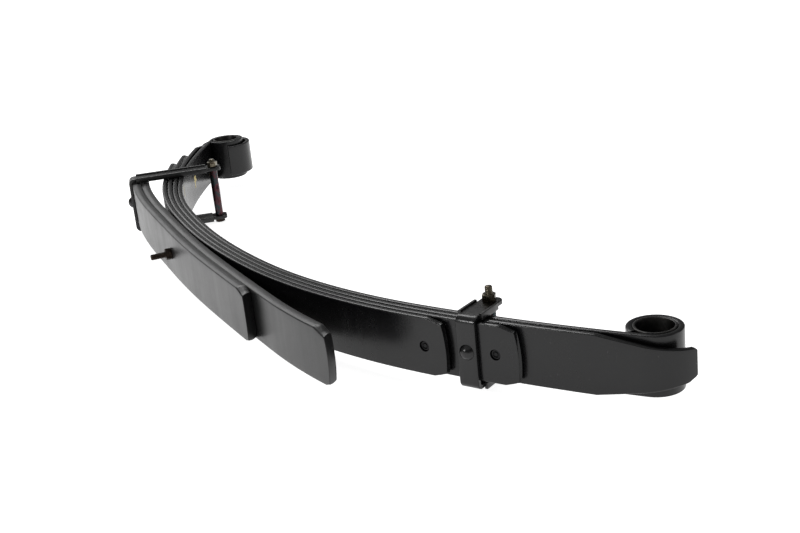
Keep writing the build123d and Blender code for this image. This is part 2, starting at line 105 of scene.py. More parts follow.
# Rear tip of the wrapper leaf, above and below mid width: half width, corner length, corner depth.
TIP_HIGH, TIP_LOW = (17.0, 2.4, 1.4), (13.5, 9.5, 3.5)
FRONT_TAPER = (-440.0, -479.0)
FRONT_WRAP_HALF = 24.0
HOOK_INNER, HOOK_SHIFT, HOOK_END = 32.0, 2.5, -12.0
PAD_INSET, PAD_STEM, PAD_HOLE, PAD_DISC = 26.0, 5.3, 5.7, 11.0
PAD_PLAY, PAD_RECESS = 0.8, 1.0
STRAP_WIDTH, STRAP_THICK, STRAP_BEND = 21.5, 4.8, 2.5
STRAP_TOP = 31.3
STRAP_BOTTOM = {"rear": -34.8, "front": -38.2}
LEG_END_REACH, LEG_CORNER = 11.0, 6.0
LINER_WEB, LINER_WALL, LINER_LIP, LINER_START = 0.5, 3.1, 1.8, 6.5
CLIP_AT = {"rear": 522.0, "front": -279.0}
CLIP_BOLT_AT = {"rear": 48.2, "front": 123.5}
LINER_END = {"rear": 37.2, "front": 109.0}
CLIP_BOLT, CLIP_FLATS, CLIP_NUT, CLIP_HEAD = 4.0, 13.0, 7.5, 5.5
CLIP_OUT = {"rear": 8.0, "front": 3.5}
TUBE_OUTER, TUBE_BORE = 5.8, 4.15
RIVET_HEAD, RIVET_HEIGHT = 8.0, 5.5
CENTRE_SHANK, CENTRE_REACH = 3.95, 75.0
CENTRE_HEAD, CENTRE_HEAD_HEIGHT = 8.0, 8.0
CENTRE_FLATS, CENTRE_NUT = 13.5, 7.5
# Crown of the leaves' side edges, reach of an end's shaping, and spacing of stations along a leaf.
LEAF_CROWN, OVERLOAD_CROWN = 0.22, 0.6
END_REACH = 14.0
STEP = 6.0
# Distances from the centre bolt that bound the bend span of each half of the main pack; they are read but
# nothing bends.
BEND = {"rear": (20.0, 455.0), "front": (-15.0, -300.0)}


# ---- plan curves ----
def walk(arcs, distance):
    """Position and heading after a distance along tangent arcs that start along X."""
    x = y = heading = 0.0
    for length, radius in arcs:
        step = min(length, distance)
        turn = step / radius
        x += radius * (math.sin(heading + turn) - math.sin(heading))
        y += radius * (math.cos(heading) - math.cos(heading + turn))
        heading += turn
        distance -= step
        if distance <= 0:
            break
    return x, y, heading


def camber(rear, front, s):
    if s >= 0:
        return walk(rear, s)
    x, y, heading = walk(front, -s)
    return -x, y, -heading


def main_heading(s):
    return camber(REAR_CAMBER, FRONT_CAMBER, s)[2]


def main_point(s, depth):
    x, y, heading = camber(REAR_CAMBER, FRONT_CAMBER, s)
    return x + depth * math.sin(heading), y - depth * math.cos(heading)


def overload_heading(s):
    return camber(REAR_OVERLOAD_CAMBER, FRONT_OVERLOAD_CAMBER, s)[2]


def overload_point(s, depth):
    x, y, heading = camber(REAR_OVERLOAD_CAMBER, FRONT_OVERLOAD_CAMBER, s)
    base = 4 * THICK + 4 * SEAT_GAP
    return x + depth * math.sin(heading), y - base - depth * math.cos(heading)


def fan_gap(s):
    if s >= 0:
        return SEAT_GAP + REAR_FAN * (s / REAR_FAN_AT) ** 2
    return SEAT_GAP + FRONT_FAN * (s / FRONT_FAN_AT) ** 2


def main_slope(number, s):
    reference, fan = (REAR_FAN_AT, REAR_FAN) if s >= 0 else (FRONT_FAN_AT, FRONT_FAN)
    return main_heading(s) - math.atan((number - 1) * 2 * fan * s / reference**2)


def leaf_depth(number, s):
    return (number - 1) * (THICK + fan_gap(s))


# ---- materials ----
def shader(name, colour, roughness, metallic=0.0, specular=0.5):
    """A Principled material. Returns (material, nodes, links, shader node)."""
    material = bpy.data.materials.new(name)
    material.use_nodes = True
    nodes, links = material.node_tree.nodes, material.node_tree.links
    body = nodes["Principled BSDF"]
    body.inputs["Base Color"].default_value = (*colour, 1)
    body.inputs["Roughness"].default_value = roughness
    body.inputs["Metallic"].default_value = metallic
    body.inputs["Specular IOR Level"].default_value = specular
    return material, nodes, links, body


def coordinates(nodes, links, kind, scale):
    """Texture coordinates of a kind, stretched by a scale."""
    source = nodes.new("ShaderNodeTexCoord")
    mapping = nodes.new("ShaderNodeMapping")
    mapping.inputs["Scale"].default_value = scale
    links.new(source.outputs[kind], mapping.inputs["Vector"])
    return mapping.outputs["Vector"]


def noise(nodes, links, vector, scale, detail=3.0, roughness=0.5, distortion=0.0):
    texture = nodes.new("ShaderNodeTexNoise")
    texture.inputs["Scale"].default_value = scale
    texture.inputs["Detail"].default_value = detail
    texture.inputs["Roughness"].default_value = roughness
    texture.inputs["Distortion"].default_value = distortion
    links.new(vector, texture.inputs["Vector"])
    return texture.outputs["Fac"]


def ramp(nodes, links, value, stops):
    """Colour ramp over a value; stops are (position, colour)."""
    node = nodes.new("ShaderNodeValToRGB")
    elements = node.color_ramp.elements
    while len(elements) < len(stops):
        elements.new(0.5)
    for element, (position, colour) in zip(elements, stops):
        element.position = position
        element.color = (*colour, 1)
    links.new(value, node.inputs["Fac"])
    return node.outputs["Color"]


def to_range(nodes, links, value, low, high, new_low, new_high):
    node = nodes.new("ShaderNodeMapRange")
    node.inputs["From Min"].default_value = low
    node.inputs["From Max"].default_value = high
    node.inputs["To Min"].default_value = new_low
    node.inputs["To Max"].default_value = new_high
    links.new(value, node.inputs["Value"])
    return node.outputs["Result"]


def bumps(nodes, links, body, layers):
    """Chains bump nodes, one per (height, strength, distance in metres)."""
    last = None
    for height, strength, distance in layers:
        node = nodes.new("ShaderNodeBump")
        node.inputs["Strength"].default_value = strength
        node.inputs["Distance"].default_value = distance
        links.new(height, node.inputs["Height"])
        if last is not None:
            links.new(last, node.inputs["Normal"])
        last = node.outputs["Normal"]
    links.new(last, body.inputs["Normal"])


def paint(name, dark, light, smooth, rough, streak, dust, specular=0.5):
    """Sprayed satin black: orange peel, cross-wise rolling streaks, faint dust."""
    material, nodes, links, body = shader(name, dark, (smooth + rough) / 2, specular=specular)
    along = coordinates(nodes, links, "UV", (1, 1, 1))
    space = coordinates(nodes, links, "Object", (1, 1, 1))
    streaks = noise(nodes, links, coordinates(nodes, links, "UV", (1, 0.06, 1)), streak, 4.0, 0.6)
    patches = noise(nodes, links, space, 22.0, 5.0, 0.65, 0.4)
    peel = noise(nodes, links, along, 620.0, 2.0, 0.5)
    grain = noise(nodes, links, along, 1900.0, 2.0, 0.6)
    specks = noise(nodes, links, space, 900.0, 1.0, 0.4)
    blend = nodes.new("ShaderNodeMix")
    blend.data_type = "FLOAT"
    blend.inputs[0].default_value = 0.45
    links.new(streaks, blend.inputs[2])
    links.new(patches, blend.inputs[3])
    mixed = blend.outputs[0]
    tone = ramp(nodes, links, mixed, ((0.3, dark), (0.72, light)))
    speck = nodes.new("ShaderNodeMix")
    speck.data_type = "RGBA"
    links.new(to_range(nodes, links, specks, 0.74, 0.8, 0.0, dust), speck.inputs[0])
    links.new(tone, speck.inputs[6])
    speck.inputs[7].default_value = (0.2, 0.2, 0.2, 1)
    links.new(speck.outputs[2], body.inputs["Base Color"])
    links.new(to_range(nodes, links, mixed, 0.3, 0.7, smooth, rough), body.inputs["Roughness"])
    bumps(nodes, links, body, ((streaks, 0.5, 0.0004), (peel, 0.35, 0.00006), (grain, 0.3, 0.00002)))
    return material


def metal(name, stops, smooth, rough, scale, metallic=1.0):
    """Plated steel, or thick paint if not metallic: drifting colours and a slightly uneven polish."""
    material, nodes, links, body = shader(name, stops[0][1], rough, metallic=metallic)
    space = coordinates(nodes, links, "Object", (1, 1, 1))
    drift = noise(nodes, links, space, scale, 4.0, 0.6, 0.8)
    fine = noise(nodes, links, space, scale * 9, 3.0, 0.6)
    links.new(ramp(nodes, links, drift, stops), body.inputs["Base Color"])
    links.new(to_range(nodes, links, fine, 0.3, 0.7, smooth, rough), body.inputs["Roughness"])
    bumps(nodes, links, body, ((fine, 0.25, 0.00005),))
    return material


def plastic(name, colour, light, smooth, rough, specular=0.45):
    """Moulded plastic with a fine sparkle texture and scuffs."""
    material, nodes, links, body = shader(name, colour, rough, specular=specular)
    space = coordinates(nodes, links, "Object", (1, 1, 1))
    grain = noise(nodes, links, space, 1500.0, 2.0, 0.5)
    scuff = noise(nodes, links, space, 60.0, 5.0, 0.7, 0.5)
    links.new(ramp(nodes, links, scuff, ((0.35, colour), (0.75, light))), body.inputs["Base Color"])
    links.new(to_range(nodes, links, scuff, 0.3, 0.7, smooth, rough), body.inputs["Roughness"])
    bumps(nodes, links, body, ((grain, 0.4, 0.00005),))
    return material


BLACK, BLACK_WORN = (0.0016, 0.0016, 0.0018), (0.003, 0.003, 0.0032)
LEAF_PAINT = paint("leaf_paint", (0.0016, 0.0016, 0.0019), (0.003, 0.003, 0.0034),
                   smooth=0.2, rough=0.31, streak=30.0, dust=0.25, specular=0.34)
OVERLOAD_PAINT = paint("overload_paint", (0.0022, 0.0022, 0.0024), (0.004, 0.004, 0.0044),
                       smooth=0.3, rough=0.44, streak=34.0, dust=0.25, specular=0.46)
CLIP_PAINT = paint("clip_paint", BLACK, BLACK_WORN,
                   smooth=0.22, rough=0.32, streak=40.0, dust=0.2, specular=0.37)
RIVET_PAINT = paint("rivet_paint", BLACK, BLACK_WORN,
                    smooth=0.22, rough=0.3, streak=40.0, dust=0.2, specular=0.4)
LINER_PLASTIC = plastic("liner_plastic", (0.0015, 0.0015, 0.0017), (0.004, 0.004, 0.0043), 0.28, 0.42)
PAD_PLASTIC = plastic("pad_plastic", (0.001, 0.001, 0.0012), (0.003, 0.003, 0.0034), 0.1, 0.2, 0.16)
ZINC = metal("zinc", ((0.3, (0.02, 0.015, 0.010)), (0.5, (0.11, 0.095, 0.068)), (0.72, (0.17, 0.16, 0.13))),
             0.15, 0.3, 160.0)
ZINC_TUBE = metal("zinc_tube", ((0.3, (0.018, 0.012, 0.014)), (0.45, (0.075, 0.03, 0.035)),
                                (0.6, (0.025, 0.042, 0.046)), (0.75, (0.045, 0.035, 0.028))),
                  0.28, 0.45, 110.0)
BUSH_STEEL = metal("bush_steel", ((0.3, (0.022, 0.022, 0.023)), (0.7, (0.05, 0.048, 0.045))),
                   0.28, 0.45, 60.0)
DARK_BOLT = metal("dark_bolt", ((0.3, (0.012, 0.010, 0.009)), (0.7, (0.035, 0.026, 0.02))), 0.35, 0.55, 180.0)
MARK_PAINT = metal("mark_paint", ((0.3, (0.32, 0.25, 0.07)), (0.7, (0.62, 0.52, 0.2))), 0.4, 0.6, 300.0, 0.0)


# ---- meshes ----
def make_mesh(name, points, faces, material, uv=None, angle=35.0, wrap=0.0):
    """Mesh from points in millimetres, smooth except at edges sharper than the angle.

    wrap is the girth of a closed profile, so the texture runs on across its seam."""
    mesh = bpy.data.meshes.new(name)
    mesh.from_pydata([(x * MM, y * MM, z * MM) for x, y, z in points], [], faces)
    shape = bmesh.new()
    shape.from_mesh(mesh)
    bmesh.ops.recalc_face_normals(shape, faces=shape.faces)
    shape.to_mesh(mesh)
    shape.free()
    if uv is not None:
        layer = mesh.uv_layers.new(name="UVMap")
        for polygon in mesh.polygons:
            girths = [uv[v][1] for v in polygon.vertices]
            torn = len(girths) == 4 and max(girths) - min(girths) > wrap / 2
            for loop, v in zip(polygon.loop_indices, polygon.vertices):
                lift = wrap if torn and uv[v][1] < wrap / 2 else 0.0
                layer.data[loop].uv = (uv[v][0], uv[v][1] + lift)
    mesh.validate()
    mesh.shade_smooth()
    mesh.set_sharp_from_angle(angle=math.radians(angle))
    mesh.materials.append(material)
    piece = bpy.data.objects.new(name, mesh)
    bpy.context.collection.objects.link(piece)
    return piece


def loft(name, rings, material, looped=False, **looks):
    """Mesh over rings of equal length, with end caps, or joined last to first if looped."""
    count = len(rings[0])
    last = (len(rings) - 1) * count
    faces = []
    for i in range(len(rings) if looped else len(rings) - 1):
        near, far = i * count, (i + 1) * count % (len(rings) * count)
        for j in range(count):
            k = (j + 1) % count
            faces.append((near + j, near + k, far + k, far + j))
    if not looped:
        faces.append(tuple(reversed(range(count))))
        faces.append(tuple(range(last, last + count)))
    return make_mesh(name, [tuple(p) for ring in rings for p in ring], faces, material, **looks)


def bar_profile(half_thick, half_width, radius, across=8, corner=5, crown=0.0):
    """Rounded rectangle as (through, sideways) pairs, once round; rolled bars have crowned edges."""
    flat_side = half_width - radius - crown
    flat_through = half_thick - radius
    points = [(half_thick, -flat_side + 2 * flat_side * i / across) for i in range(1, across)]
    corners = ((1, 1, 0), (-1, 1, 90), (-1, -1, 180), (1, -1, 270))
    for number, (through, side, first) in enumerate(corners):
        for i in range(corner + 1):
            a = math.radians(first + 90 * i / corner)
            points.append((through * flat_through + radius * math.cos(a),
                           side * flat_side + radius * math.sin(a)))
        if number == 1:
            points += [(-half_thick, flat_side - 2 * flat_side * i / across) for i in range(1, across)]
        elif number != 3:
            for i in range(1, 6):
                share = (1 - i / 3) * through
                points.append((share * flat_through, side * (half_width - crown * share**2)))
    return points


def sweep(name, stations, thickness, radius, material, soft_ends, bulge=0.0, slant=0.0, skew=0.0,
          crown=0.0, across=8, corner=5):
    """Flat bar along stations of (point, out of the face, sideways, half width, distance).

    Soft ends have broken edges of these radii. At the far end, bulge pushes the middle outwards in a
    shallow arc, slant leans the end face back towards the side the normals point to, and skew draws
    the upper corner back. These die out over END_REACH."""
    end = stations[-1][4]
    sign = 1 if end > stations[0][4] else -1
    rings, uv = [], []
    girth = 1.0

    def lay(station, shift=0.0, inset=0.0):
        nonlocal girth
        point, normal, side, half, distance = station
        forward = normal.cross(side) * sign
        last = max(0.0, 1 - abs(distance - end) / END_REACH)
        profile = bar_profile(thickness / 2 - inset, half - inset, max(radius - inset, 0.2), across, corner,
                              crown)
        ring, along = [], 0.0
        for number, (through, sideways) in enumerate(profile):
            push = shift + bulge * last * (1 - (sideways / half) ** 2) - slant * last * through
            push -= skew * last * (sideways + half)
            ring.append(point + normal * through + side * sideways + forward * push)
            if number:
                along += math.dist(profile[number], profile[number - 1])
            uv.append((distance * MM, along * MM))
        girth = along + math.dist(profile[0], profile[-1])
        rings.append(ring)

    def break_edge(station, soft, way):
        """Rings round a broken end edge, from the end face to the flat faces (way +1 at the start)."""
        for share in (0.0, 0.5, 0.87, 1.0):
            yield station, way * soft * (1 - math.sqrt(1 - share**2)), soft * (1 - share)
        yield station, way * (soft + 0.4), 0.0

    rows = [(station,) for station in stations]
    if soft_ends[0]:
        rows = list(break_edge(stations[0], soft_ends[0], 1)) + rows[1:]
    if soft_ends[1]:
        rows = rows[:-1] + list(break_edge(stations[-1], soft_ends[1], -1))[::-1]
    for row in rows:
        lay(*row)
    return loft(name, rings, material, uv=uv, wrap=girth * MM)


def vector(pair, z=0.0):
    return Vector((pair[0], pair[1], z))


def cut_edges(row, high, low):
    """A station narrowed to separate half widths above and below mid width."""
    point, normal, side, _, distance = row
    return point + side * (high - low) / 2, normal, side, (high + low) / 2, distance


def bar_station(point, heading, half, distance):
    """Station of a leaf whose width is along Z, at a point of its middle surface."""
    return (vector(point), Vector((-math.sin(heading), math.cos(heading), 0)),
            Vector((0, 0, 1)), half, distance)


def spaced(start, end, step):
    count = max(1, math.ceil(abs(end - start) / step))
    return [start + (end - start) * i / count for i in range(count + 1)]


def trimmed(s, end, length, depth, full=HALF):
    """Half width near an end whose corners are cut off."""
    away = abs(end - s)
    return full if away >= length else full - depth * (1 - away / length)


def with_corner(values, *extra):
    """Distances with extra ones put in their places."""
    found = sorted(set(values) | set(extra), reverse=values[0] > values[-1])
    return [v for i, v in enumerate(found) if i == 0 or abs(v - found[i - 1]) > 0.4 or v in extra]


def pack_stations(number, end):
    """Stations of a plain main-pack leaf from the centre bolt to one end."""
    sign = 1 if end > 0 else -1
    end -= sign * END_BULGE
    high_trim = TRIM_LENGTH + (REAR_TRIM_EXTRA if end > 0 else 0)
    values = with_corner(spaced(0.0, end, STEP), end - sign * (TRIM_LENGTH - END_BULGE),
                         end - sign * (high_trim - END_BULGE))
    rows = []
    for s in values:
        high, low = (trimmed(s, end, length - END_BULGE, TRIM_DEPTH) for length in (high_trim, TRIM_LENGTH))
        point = main_point(s, leaf_depth(number, s) + THICK / 2)
        rows.append(cut_edges(bar_station(point, main_slope(number, s), HALF, s), high, low))
    return rows


def overload_stations(depth, ends, trims, bulge, drop):
    """Stations of an overload leaf: its front end is cut square, its rear corners are trimmed."""
    end = ends[1] - bulge
    (high_length, high_depth), (low_length, low_depth) = trims
    rows = []
    for s in with_corner(spaced(ends[0], end, STEP), end + bulge - high_length, end + bulge - low_length):
        x, y = overload_point(s, depth + THICK_OVERLOAD / 2)
        row = bar_station((x, y), overload_heading(s), HALF, s)
        row = (row[0] - Vector((0, 0, drop)),) + row[1:]
        high = trimmed(s, end, high_length - bulge, high_depth)
        rows.append(cut_edges(row, high, trimmed(s, end, low_length - bulge, low_depth)))
    return rows


def eye_centre(tangent):
    return main_point(tangent, THICK - EYE_RADIUS)


def main_stations(tangent):
    """Main leaf from the centre bolt out to an eye and round its roll."""
    side = 1 if tangent > 0 else -1
    rows = []
    for s in spaced(0.0, tangent, STEP):
        rows.append(bar_station(main_point(s, THICK / 2), main_heading(s), HALF, s))
    cx, cy = eye_centre(tangent)
    heading = main_heading(tangent)
    radius = EYE_RADIUS - THICK / 2
    for degrees in spaced(-90.0, EYE_ROLL_END, 4.0)[1:]:
        a = math.radians(degrees)
        x, y = side * radius * math.cos(a), radius * math.sin(a)
        turned = (cx + x * math.cos(heading) - y * math.sin(heading),
                  cy + x * math.sin(heading) + y * math.cos(heading))
        distance = tangent + side * radius * (a + math.pi / 2)
        rows.append(bar_station(turned, heading + side * (a + math.pi / 2), HALF, distance))
    return rows


def bridge(rows, point, heading, step=3.0):
    """Hermite curve from the last station to a point and heading, in the direction of travel."""
    start, before = rows[-1][0], rows[-2][0]
    way = (start - before).normalized()
    end = vector(point)
    leave = vector((math.cos(heading), math.sin(heading)))
    gap = (end - start).length
    count = max(2, round(gap / step))
    for i in range(1, count):
        t = i / count
        a, b = 2 * t**3 - 3 * t**2 + 1, t**3 - 2 * t**2 + t
        c, d = -2 * t**3 + 3 * t**2, t**3 - t**2
        here = a * start + b * gap * way + c * end + d * gap * leave
        a1, b1 = 6 * t**2 - 6 * t, 3 * t**2 - 4 * t + 1
        c1, d1 = -6 * t**2 + 6 * t, 3 * t**2 - 2 * t
        slope = a1 * start + b1 * gap * way + c1 * end + d1 * gap * leave
        yield here, math.atan2(slope.y, slope.x)


def wrapper_rear_stations():
    """Wrapper leaf from the centre bolt past the rear eye, where its tip turns up and tapers."""
    values = with_corner(spaced(0.0, REAR_WRAP_START, STEP), REAR_TAPER_START)
    rows = []
    for s in values:
        point = main_point(s, leaf_depth(2, s) + THICK / 2)
        rows.append(bar_station(point, main_slope(2, s), HALF, s))
    outer = main_point(REAR_WRAP_START, leaf_depth(2, REAR_WRAP_START) + THICK)
    heading = main_slope(2, REAR_WRAP_START)
    cx = outer[0] - REAR_WRAP_RADIUS * math.sin(heading)
    cy = outer[1] + REAR_WRAP_RADIUS * math.cos(heading)
    radius = REAR_WRAP_RADIUS - THICK / 2
    turn = math.radians(REAR_WRAP_TURN)
    for i in range(1, 41):
        a = heading + turn * i / 40
        point = (cx + radius * math.sin(a), cy - radius * math.cos(a))
        rows.append(bar_station(point, a, HALF, REAR_WRAP_START + radius * turn * i / 40))
    start = vector(main_point(REAR_TAPER_START, leaf_depth(2, REAR_TAPER_START) + THICK))
    chord = rows[-1][0] - rows[-1][1] * THICK / 2 - start
    direction, length = chord.normalized(), chord.length
    last = rows[-1][4]
    result = []
    for point, normal, side, half, s in rows:
        share = max(0.0, min(1.0, (point - start).dot(direction) / length))
        high, low = (trimmed(s, last, *corner, full=HALF + (narrow - HALF) * share)
                     for narrow, *corner in (TIP_HIGH, TIP_LOW))
        result.append(cut_edges((point, normal, side, half, s), high, low))
    return result


def front_wrap_half(s):
    """Half width of the wrapper leaf, which narrows before it hooks round the front eye."""
    share = max(0.0, min(1.0, (FRONT_TAPER[0] - s) / (FRONT_TAPER[0] - FRONT_TAPER[1])))
    return HALF + (FRONT_WRAP_HALF - HALF) * share


def wrapper_front_stations():
    """Wrapper leaf from the centre bolt to the front eye, and round most of it."""
    rows = []
    for s in with_corner(spaced(0.0, FRONT_EYE_TANGENT + 28, STEP), FRONT_TAPER[0]):
        point = main_point(s, leaf_depth(2, s) + THICK / 2)
        rows.append(bar_station(point, main_slope(2, s), front_wrap_half(s), s))
    cx, cy = eye_centre(FRONT_EYE_TANGENT)
    cx -= HOOK_SHIFT
    last = math.radians(math.degrees(main_heading(FRONT_EYE_TANGENT)) - 98)
    first = math.radians(HOOK_END - 360)
    radius = HOOK_INNER + THICK / 2
    arc = []
    for i in range(73):
        a = last + (first - last) * i / 72
        arc.append(((cx + radius * math.cos(a), cy + radius * math.sin(a)), a))
    target, angle = arc[0]
    travelled = rows[-1][4]
    # Going round clockwise, the way on is a quarter turn back from the outward direction.
    for here, way in bridge(rows, target, angle - math.pi / 2):
        travelled -= (here - rows[-1][0]).length
        rows.append(bar_station(here.xy, way - math.pi, front_wrap_half(travelled), travelled))
    for point, a in arc:
        travelled -= (vector(point) - rows[-1][0]).length
        rows.append(bar_station(point, a + math.pi / 2, front_wrap_half(travelled), travelled))
    return rows


def drill(piece, point, heading, radius):
    """Round hole through a leaf, cut with a boolean."""
    cutter = bpy.data.meshes.new("cutter")
    count, reach = 40, 12.0
    n = Vector((-math.sin(heading), math.cos(heading), 0))
    t = Vector((math.cos(heading), math.sin(heading), 0))
    z = Vector((0, 0, 1))
    centre = vector(point)
    points, faces = [], []
    for end in (-reach, reach):
        for i in range(count):
            a = 2 * math.pi * i / count
            points.append((centre + n * end + t * radius * math.cos(a) + z * radius * math.sin(a)) * MM)
    for i in range(count):
        j = (i + 1) % count
        faces.append((i, j, count + j, count + i))
    faces.append(tuple(reversed(range(count))))
    faces.append(tuple(range(count, 2 * count)))
    cutter.from_pydata([tuple(p) for p in points], [], [face[::-1] for face in faces])
    tool = bpy.data.objects.new("cutter", cutter)
    bpy.context.collection.objects.link(tool)
    cut = piece.modifiers.new("hole", "BOOLEAN")
    cut.operation, cut.solver, cut.object = "DIFFERENCE", "EXACT", tool
    evaluated = piece.evaluated_get(bpy.context.evaluated_depsgraph_get())
    mesh = bpy.data.meshes.new_from_object(evaluated)
    mesh.name = piece.name
    piece.modifiers.clear()
    piece.data = mesh
    mesh.set_sharp_from_angle(angle=math.radians(35))
    bpy.data.objects.remove(tool)


def lathe(name, axis_point, axis, profile, material, closed_profile=False, segments=64):
    """Turned piece: profile of (height along the axis, radius); radius 0 closes an end."""
    axis = axis.normalized()
    across = axis.orthogonal().normalized()
    other = axis.cross(across)
    rings = []
    for height, radius in profile:
        ring = []
        for i in range(segments):
            a = 2 * math.pi * i / segments
            ring.append(axis_point + axis * height + (across * math.cos(a) + other * math.sin(a)) * radius)
        rings.append(ring)
    return loft(name, rings, material, looped=closed_profile)


def hex_radius(a, flats):
    """Distance from the axis to a hexagon's side at an angle."""
    step = math.pi / 3
    return flats / 2 / math.cos((a + step / 2) % step - step / 2)


def hexagon(name, base, axis, flats, height, bore, material, both_chamfered, turn=0.0):
    """Hex nut or bolt head: flats, and turned chamfers that cut curved lines into them."""
    axis = axis.normalized()
    across = axis.orthogonal().normalized()
    across.rotate(Matrix.Rotation(turn, 3, axis))
    other = axis.cross(across)
    segments = 72
    land = flats / 2 * 0.94
    rings = []

    def ring(radius_at, height_at):
        made = []
        for i in range(segments):
            a = 2 * math.pi * i / segments
            r = radius_at(a)
            made.append(base + axis * height_at(r) + (across * math.cos(a) + other * math.sin(a)) * r)
        rings.append(made)

    fall = 0.5
    if both_chamfered:
        ring(lambda a: land, lambda r: 0.0)
        ring(lambda a: hex_radius(a, flats), lambda r: (r - land) * fall)
    else:
        ring(lambda a: hex_radius(a, flats), lambda r: 0.0)
    ring(lambda a: hex_radius(a, flats), lambda r: height - (r - land) * fall)
    ring(lambda a: land, lambda r: height)
    if bore:
        ring(lambda a: bore + 0.7, lambda r: height)
        ring(lambda a: bore, lambda r: height - 0.7)
        ring(lambda a: bore, lambda r: 0.0)
    return loft(name, rings, material, looped=bool(bore), angle=25.0)


def threaded(name, base, axis, radius, smooth_length, thread_length, pitch, material):
    """Bolt shank: a smooth length, then a real helical thread with a chamfered end."""
    axis = axis.normalized()
    across = axis.orthogonal().normalized()
    other = axis.cross(across)
    segments, per_pitch = 36, 10
    deep = 0.36 * pitch
    total = smooth_length + thread_length
    rows = [0.0, smooth_length]
    steps = round(thread_length / pitch * per_pitch)
    rows += [smooth_length + thread_length * i / steps for i in range(1, steps + 1)]
    rings = []
    for height in rows:
        made = []
        for i in range(segments):
            turn = i / segments
            r = radius
            if height > smooth_length:
                phase = ((height - smooth_length) / pitch - turn) % 1.0
                r = radius - deep * min(1.0, max(0.0, 1.25 * (1 - abs(2 * phase - 1)) - 0.1))
            r = min(r, radius - 0.9 * max(0.0, 1 - (total - height) / 1.0))
            a = 2 * math.pi * turn
            made.append(base + axis * height + (across * math.cos(a) + other * math.sin(a)) * r)
        rings.append(made)
    return loft(name, rings, material, angle=60.0)


def show(piece, body, node=None):
    """Joins a piece to its body and hides the CAD node it stands for."""
    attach(piece, body)
    if node:
        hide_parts(node)
    return piece


# ---- leaves ----
def bend_with(piece, end):
    """Bakes a main-pack half's placement into its mesh; the ends of its bend span are worked out but left
    unused.
    """
    start, stop = BEND[end]
    tuple(c * MM for c in vector(main_point(start, THICK * 2)))
    tuple(c * MM for c in vector(main_point(stop, THICK * 2)))
    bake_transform(piece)


def main_pack():
    """The four long leaves, each in two halves."""
    halves = []
    for node, number, ends in (("third_leaf", 3, THIRD_ENDS), ("fourth_leaf", 4, FOURTH_ENDS)):
        for end, word in zip(ends, ("front", "rear")):
            piece = sweep(f"{node}_{word}", pack_stations(number, end), THICK, EDGE, LEAF_PAINT,
                          (0, 0.45), END_BULGE, skew=REAR_SKEW if end > 0 else 0, crown=LEAF_CROWN)
            at = end + (PAD_INSET if end < 0 else -PAD_INSET)
            drill(piece, main_point(at, leaf_depth(number, at) + THICK / 2), main_slope(number, at), PAD_HOLE)
            halves.append((piece, word, node))
    for tangent, word in ((FRONT_EYE_TANGENT, "front"), (REAR_EYE_TANGENT, "rear")):
        piece = sweep(f"main_leaf_{word}", main_stations(tangent), THICK, EDGE, LEAF_PAINT, (0, 0.4),
                      crown=LEAF_CROWN)
        halves.append((piece, word, "main_leaf"))
    rear = sweep("wrapper_leaf_rear", wrapper_rear_stations(), THICK, EDGE, LEAF_PAINT, (0, 0.5),
                 crown=LEAF_CROWN)
    front = sweep("wrapper_leaf_front", wrapper_front_stations(), THICK, EDGE, LEAF_PAINT, (0, 0.5),
                  crown=LEAF_CROWN)
    halves += [(rear, "rear", "wrapper_leaf"), (front, "front", "wrapper_leaf")]
    for piece, word, node in halves:
        bend_with(piece, word)
        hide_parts(node)


def paint_mark(name, rim):
    """Dried dab of marking paint on the main leaf's concave face; rim is in (distance, height)."""
    centre_s = sum(point[0] for point in rim) / len(rim)
    centre_z = sum(point[1] for point in rim) / len(rim)
    rings = []
    for share, rise in ((1.0, -0.05), (1.0, 0.04), (0.9, 0.12), (0.6, 0.16)):
        ring = []
        for s, z in rim:
            at = centre_s + (s - centre_s) * share
            ring.append(vector(main_point(at, -rise), centre_z + (z - centre_z) * share))
        rings.append(ring)
    piece = loft(name, rings, MARK_PAINT, angle=50.0)
    bend_with(piece, "front")
    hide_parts("main_leaf")


def streak(top, bottom, width, wobble):
    """Outline of a run of paint between two (distance, height) points, wider at its lower end."""
    left, right = [], []
    for i in range(13):
        t = i / 12
        s = top[0] + (bottom[0] - top[0]) * t
        z = top[1] + (bottom[1] - top[1]) * t
        rounded = math.sqrt(max(0.05, 1 - (2 * t - 1) ** 4))
        half = width * (0.35 + 0.25 * t + wobble * math.sin(7 * t + 1)) * rounded
        left.append((s - half, z))
        right.append((s + half, z))
    return left + right[::-1]


def paint_marks():
    paint_mark("paint_dab", streak((-344.0, 8.5), (-345.0, -1.0), 16.0, 0.12))
    paint_mark("paint_drip", streak((-343.0, -0.5), (-340.0, -9.5), 6.0, 0.1))
    paint_mark("paint_run", streak((-235.5, 24.0), (-235.0, 6.0), 3.5, 0.15))


def overloads():
    for word, depth, ends, trims, bulge, drop in (
            ("long", 0, LONG_OVERLOAD_ENDS, LONG_TRIMS, LONG_BULGE, LONG_DROP),
            ("short", THICK_OVERLOAD + SEAT_GAP, SHORT_OVERLOAD_ENDS, SHORT_TRIMS, SHORT_BULGE, 0.0)):
        piece = sweep(f"{word}_overload", overload_stations(depth, ends, trims, bulge, drop), THICK_OVERLOAD,
                      EDGE_OVERLOAD, OVERLOAD_PAINT, (0.6, 0.6), bulge, OVERLOAD_SLANT,
                      crown=OVERLOAD_CROWN)
        show(piece, "seat", f"{word}_overload_leaf")


